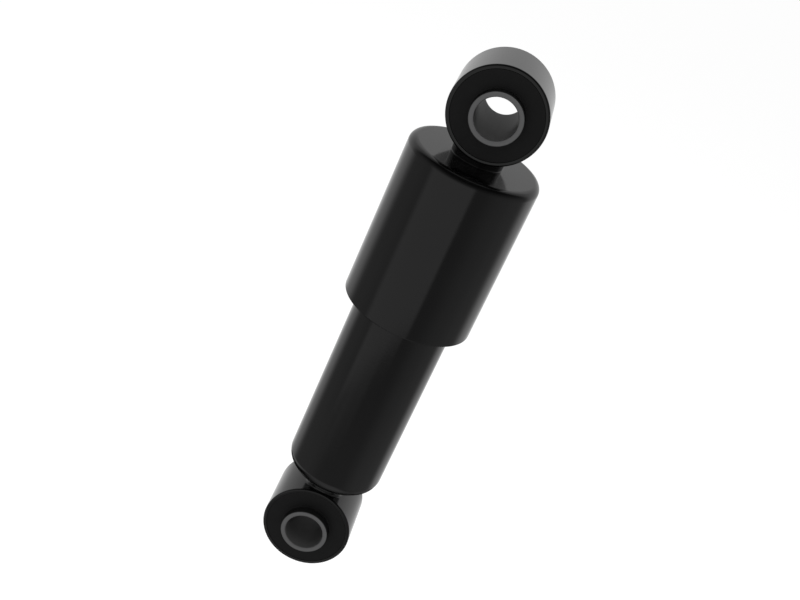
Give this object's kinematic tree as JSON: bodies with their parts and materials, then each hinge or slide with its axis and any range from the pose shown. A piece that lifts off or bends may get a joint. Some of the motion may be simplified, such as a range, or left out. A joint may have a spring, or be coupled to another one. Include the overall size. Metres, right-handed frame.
{
  "type": "shock absorber",
  "caption": "Twin-tube telescopic shock absorber with a rubber-bushed eye at each end, a reservoir tube with a coned bottom and a dust cover over the rod.",
  "frame": {"origin": "centre of the lower eye's bore", "axes": "+Z along the strut to the upper eye, +Y along both bores"},
  "size_m": [0.0536, 0.0536, 0.238],
  "materials": {
    "black_paint": "gloss black enamel",
    "bush_rubber": "matte moulded",
    "sleeve_steel": "dark phosphate coat, satin",
    "chrome": "ground and hard chromed",
    "plain_steel": "machined",
    "spring_steel": "blued",
    "sintered_iron": "sintered, fine grain",
    "bearing_bronze": "matt",
    "band_plastic": "filled fluoropolymer",
    "seal_rubber": "smooth nitrile rubber"
  },
  "bodies": {
    "lower_sleeve": {"lower_bush_sleeve": "sleeve_steel"},
    "cylinder_unit": {"lower_eye_ring": "black_paint", "lower_bush_rubber": "bush_rubber", "lower_eye_stub": "black_paint", "reservoir_tube": "black_paint", "working_cylinder": "plain_steel", "base_valve_body": "sintered_iron", "compression_shims": "spring_steel", "base_valve_nut": "plain_steel", "base_valve_bolt": "plain_steel", "base_check_spring": "spring_steel", "rod_guide": "sintered_iron", "guide_bush": "bearing_bronze", "rod_seal": "seal_rubber", "seal_garter_spring": "spring_steel", "tube_o_ring": "seal_rubber", "closing_cap": "plain_steel"},
    "base_check": {"base_check_plate": "spring_steel"},
    "sliding_band": {"piston_band": "band_plastic"},
    "rod_unit": {"piston_rod": "chrome", "rebound_stop": "plain_steel", "rebound_bumper": "seal_rubber", "valve_stop": "plain_steel", "piston_body": "sintered_iron", "piston_star_spring": "spring_steel", "rebound_shims": "spring_steel", "shim_washer": "plain_steel", "piston_nut": "plain_steel", "cover_washer": "plain_steel", "dust_cover": "black_paint", "rod_head_collar": "black_paint", "upper_eye_ring": "black_paint", "upper_bush_rubber": "bush_rubber"},
    "piston_check": {"piston_check_plate": "spring_steel"},
    "upper_sleeve": {"upper_bush_sleeve": "sleeve_steel"}
  },
  "joints": [
    {"name": "lower_bush_twist", "type": "hinge", "parent": "lower_sleeve", "child": "cylinder_unit", "pos_m": [0, 0, 0], "axis": [0, 1, 0], "range_deg": [-20, 20], "stiffness_Nm_per_rad": 60},
    {"name": "stroke", "type": "slide", "parent": "cylinder_unit", "child": "sliding_band", "axis": [0, 0, 1], "range_m": [-0.03, 0.028]},
    {"name": "rod_turn", "type": "hinge", "parent": "sliding_band", "child": "rod_unit", "pos_m": [0, 0, 0.0845], "axis": [0, 0, 1], "continuous": true},
    {"name": "upper_bush_twist", "type": "hinge", "parent": "rod_unit", "child": "upper_sleeve", "pos_m": [0, 0, 0.2], "axis": [0, 1, 0], "range_deg": [-20, 20], "stiffness_Nm_per_rad": 60},
    {"name": "piston_check_lift", "type": "slide", "parent": "rod_unit", "child": "piston_check", "axis": [0, 0, 1], "range_m": [0, 0.0008], "stiffness_N_per_m": 800, "deforming": ["piston_star_spring"]},
    {"name": "base_check_lift", "type": "slide", "parent": "cylinder_unit", "child": "base_check", "axis": [0, 0, 1], "range_m": [0, 0.0008], "stiffness_N_per_m": 800, "deforming": ["base_check_spring"]}
  ]
}
